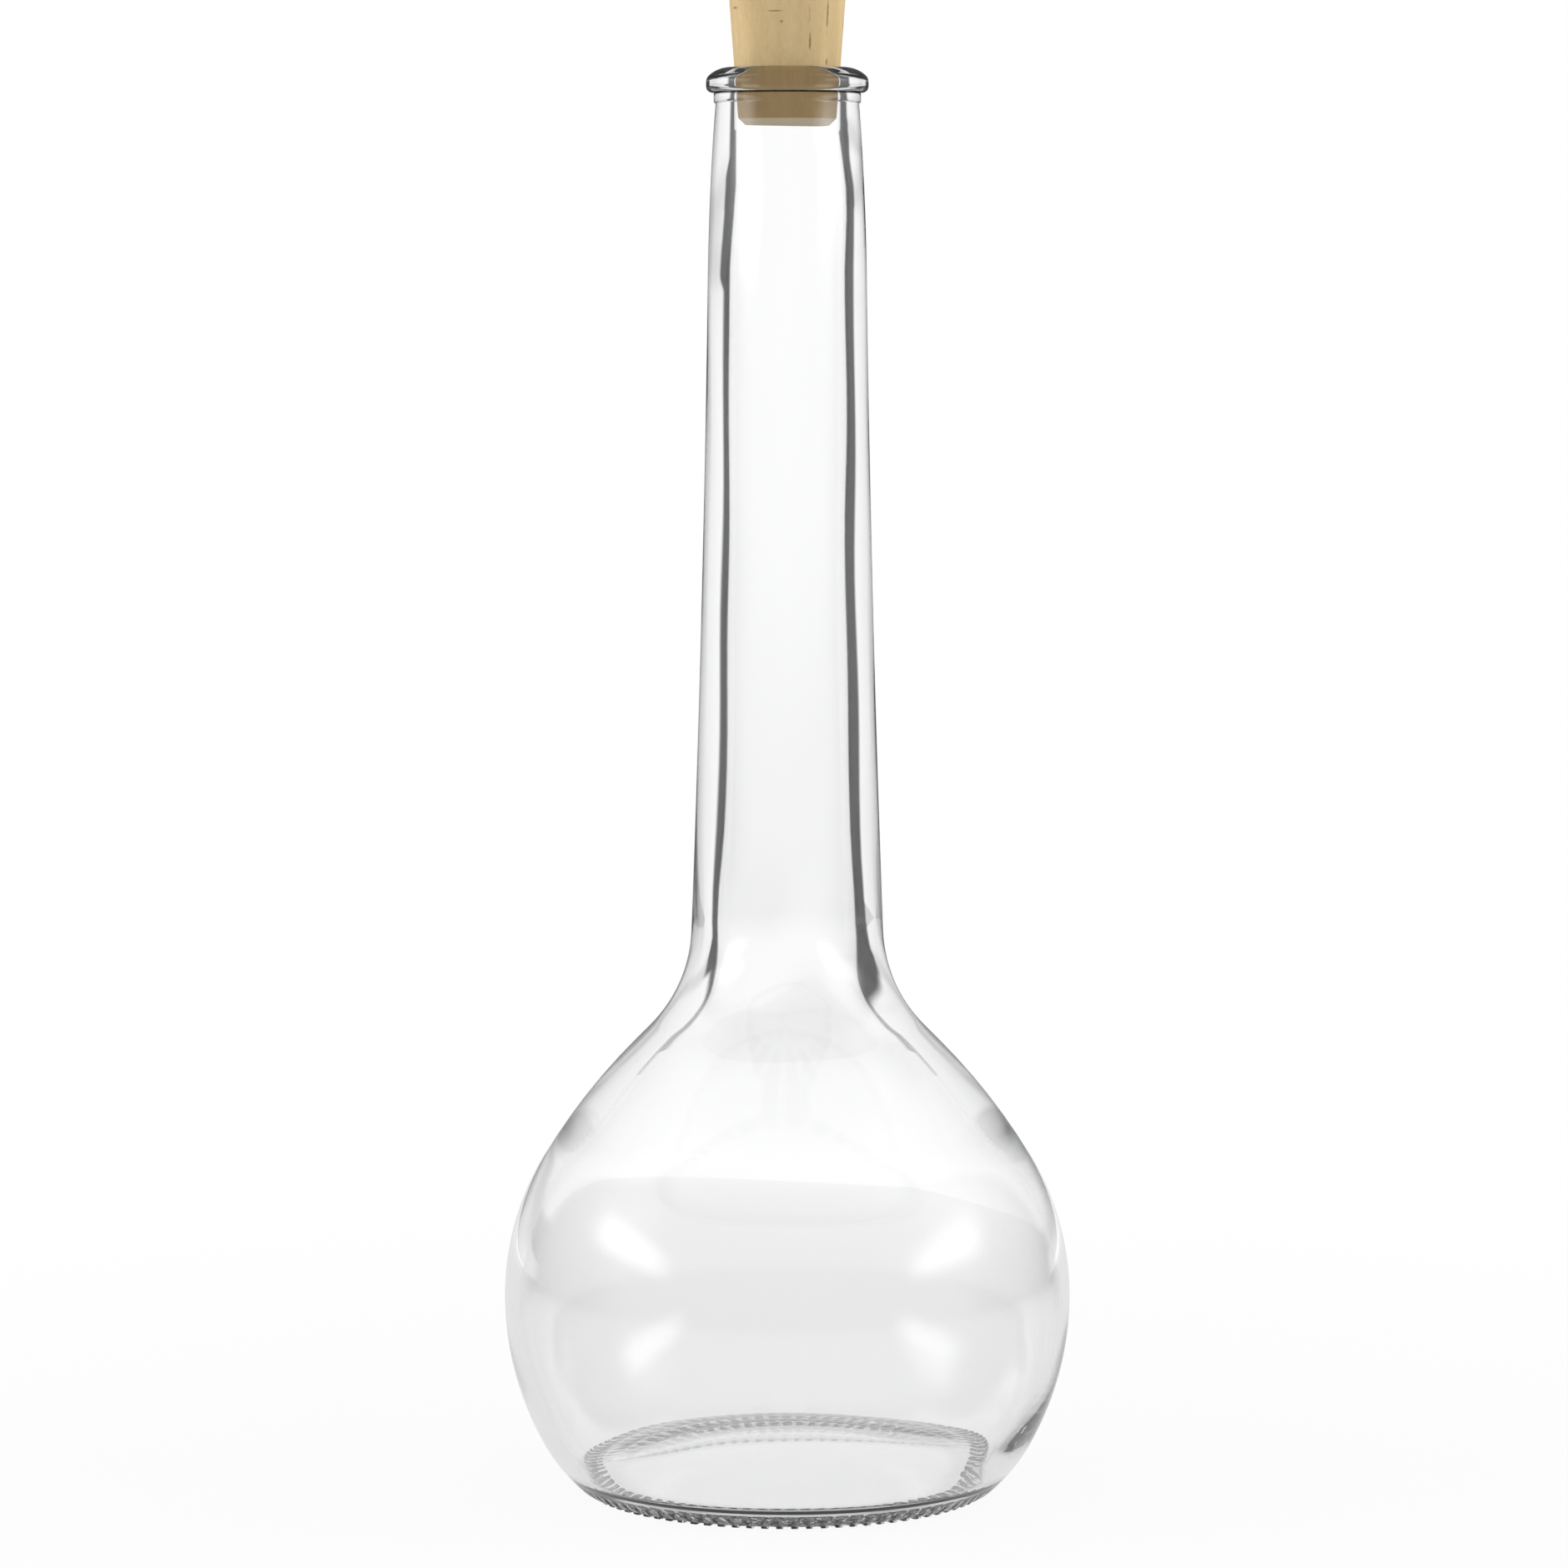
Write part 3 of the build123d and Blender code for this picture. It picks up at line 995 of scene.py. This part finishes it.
class GENIE_OT_studio(Operator):
    """Make the pale floor, the soft lamps, the white background and the camera"""

    bl_idname = "genie.studio"
    bl_label = "Studio and camera"

    def execute(self, context):
        look = context.scene.genie.studio
        mesh = bmesh.new()
        bmesh.ops.create_circle(
            mesh, cap_ends=True, segments=FLOOR_SEGMENTS, radius=look.floor_radius
        )
        data = bpy.data.meshes.new("studio_floor")
        mesh.to_mesh(data)
        mesh.free()
        data.materials.append(pale_floor(look))
        floor = bpy.data.objects.new("studio_floor", data)
        context.scene.collection.objects.link(floor)
        studio_world(look)
        soft_box("soft_box_left", -1, look)
        soft_box("soft_box_right", 1, look)
        for name, side in (("side_lamp_left", -1), ("side_lamp_right", 1)):
            place = (side * look.side_distance, -SIDE_LAMP_FRONT, SIDE_LAMP_HEIGHT)
            add_lamp(name, look.side_lamp, SIDE_LAMP_SIZE, place)
        place = (0, -TOP_LAMP_FRONT, look.top_height)
        add_lamp("top_lamp", look.top_lamp, TOP_LAMP_SIZE, place)

        data = bpy.data.cameras.new("camera")
        data.sensor_width = 36
        data.lens = look.camera_lens
        data.clip_start = 0.05
        camera = bpy.data.objects.new("camera", data)
        camera.location = (-look.camera_side, -look.camera_distance, look.camera_height)
        camera.rotation_euler = (radians(90) - look.camera_tilt, 0, 0)
        context.scene.collection.objects.link(camera)
        context.scene.camera = camera

        context.scene.view_settings.view_transform = "Standard"
        cycles = context.scene.cycles
        cycles.max_bounces = GLASS_BOUNCES
        cycles.transmission_bounces = GLASS_BOUNCES
        cycles.glossy_bounces = GLASS_BOUNCES
        return {"FINISHED"}


class GENIE_PT_bottle(Panel):
    """Genie bottle tools"""

    bl_label = "Genie bottle"
    bl_space_type = "VIEW_3D"
    bl_region_type = "UI"
    bl_category = "Bottle"

    def draw(self, context):
        for operator in (GENIE_OT_bottle, GENIE_OT_cork, GENIE_OT_studio):
            self.layout.operator(operator.bl_idname)


CLASSES = (
    OutsideSizes,
    MouthSizes,
    InsideSizes,
    BaseSizes,
    GlassLook,
    CorkSizes,
    CorkLook,
    StudioLook,
    BottleSettings,
    GENIE_OT_bottle,
    GENIE_OT_cork,
    GENIE_OT_studio,
    GENIE_PT_bottle,
)


def register():
    for cls in CLASSES:
        bpy.utils.register_class(cls)
    bpy.types.Scene.genie = PointerProperty(type=BottleSettings)


def unregister():
    del bpy.types.Scene.genie
    for cls in reversed(CLASSES):
        bpy.utils.unregister_class(cls)


def main():
    register()
    bpy.ops.genie.studio()
    bpy.ops.genie.bottle()
    bpy.ops.genie.cork()


if __name__ == "__main__":
    main()
